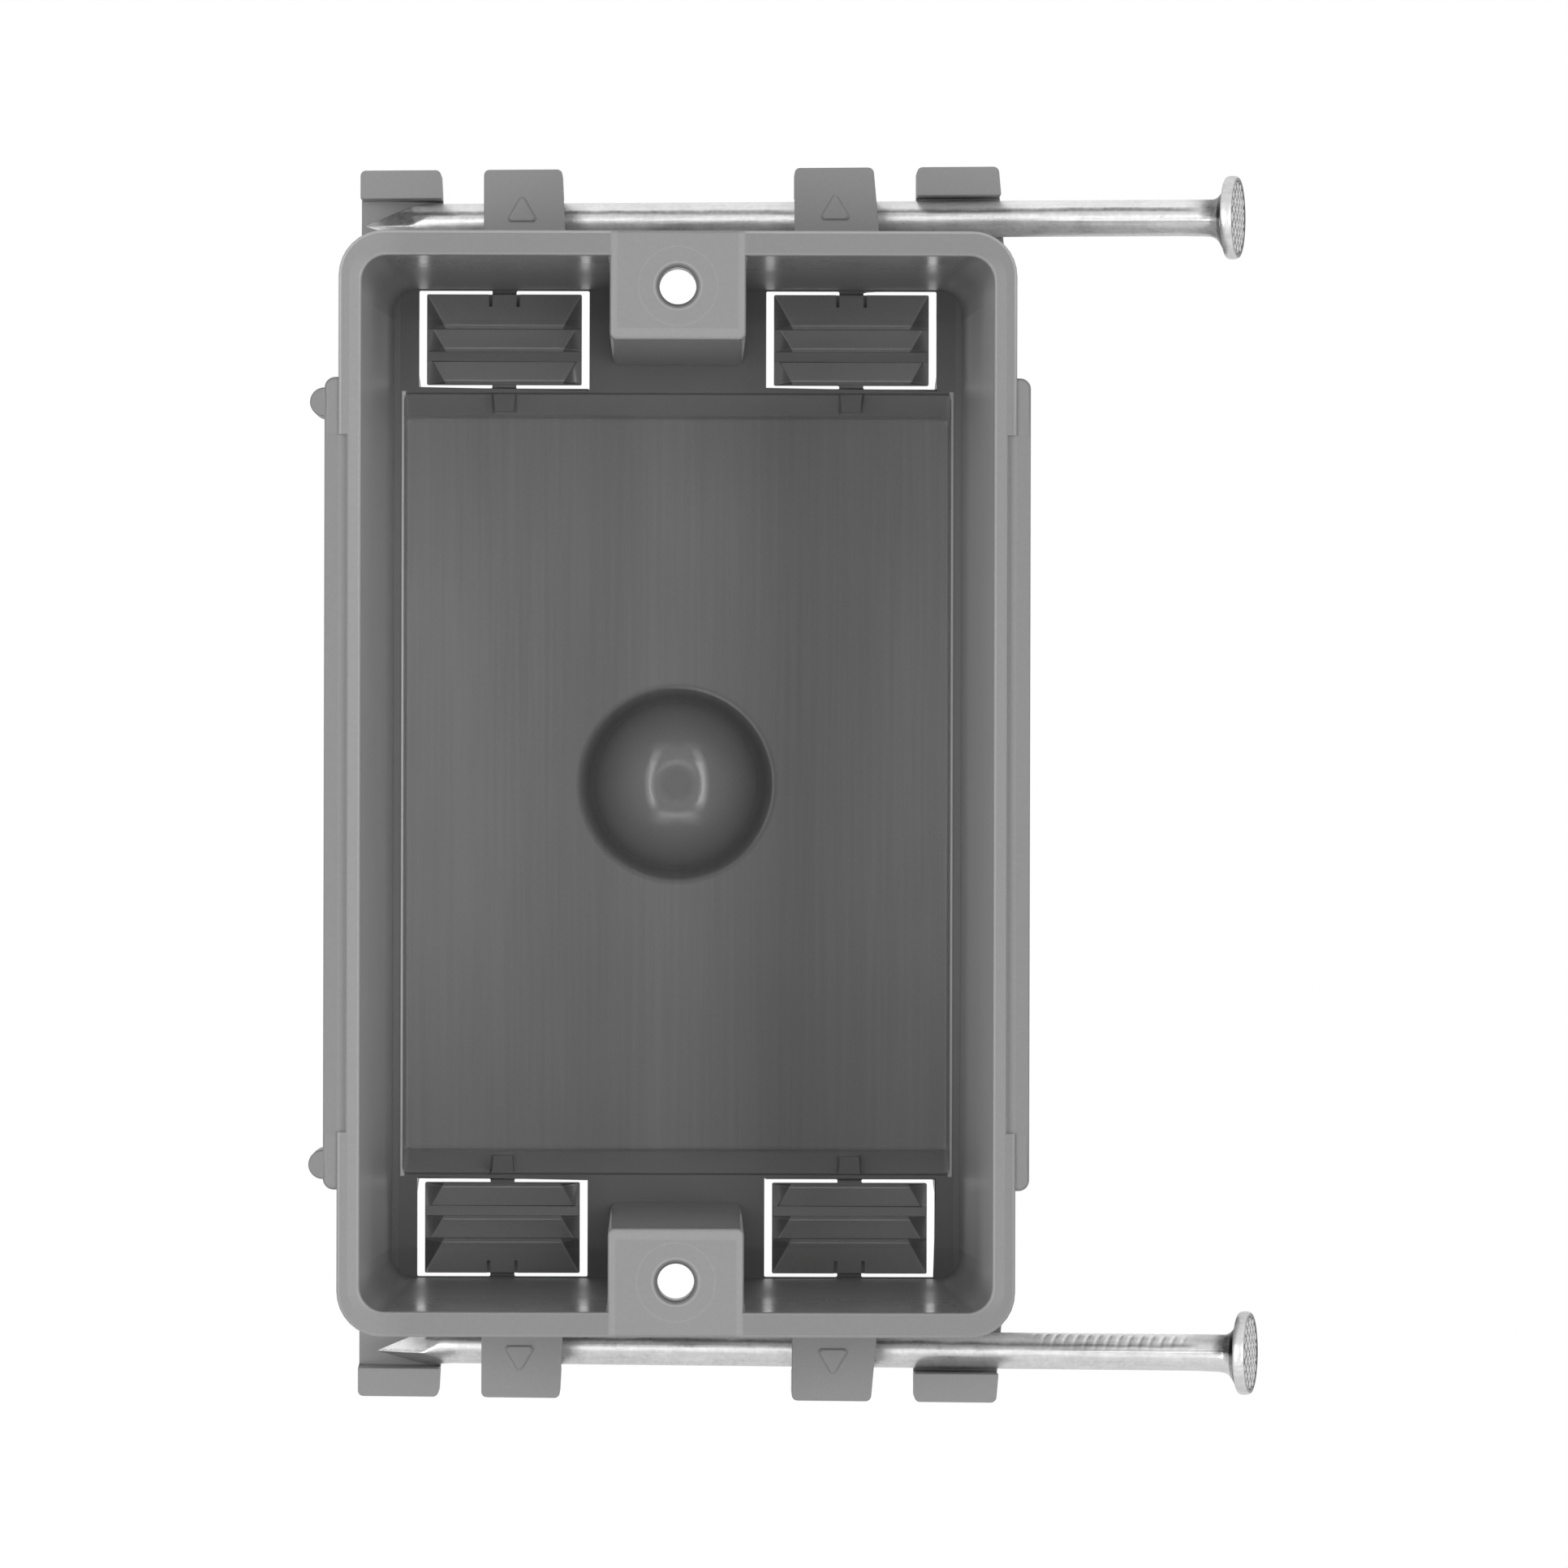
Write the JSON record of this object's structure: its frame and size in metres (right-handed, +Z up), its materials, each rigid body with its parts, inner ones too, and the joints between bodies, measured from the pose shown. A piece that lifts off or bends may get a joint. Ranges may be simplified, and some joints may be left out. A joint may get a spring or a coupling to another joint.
{
  "type": "new work outlet box",
  "caption": "Moulded single-gang electrical box that is nailed to a wall stud, deep and open at the front, with break-in cable flaps at the back and its nails held in ears above and below.",
  "frame": {"origin": "middle of the stud face: the flat of the left-hand pad, half way along its depth", "axes": "+Z up the wall, -Y out of the opening towards the room, +X away from the stud towards the nail heads"},
  "size_m": [0.0803, 0.072, 0.105],
  "materials": {
    "grey_plastic": "satin as-moulded thermoplastic, polished on the inner walls",
    "zinc_steel": "bright zinc plated wire"
  },
  "bodies": {
    "root": {"box_body": "grey_plastic", "upper_nail": "zinc_steel", "lower_nail": "zinc_steel"}
  },
  "joints": []
}
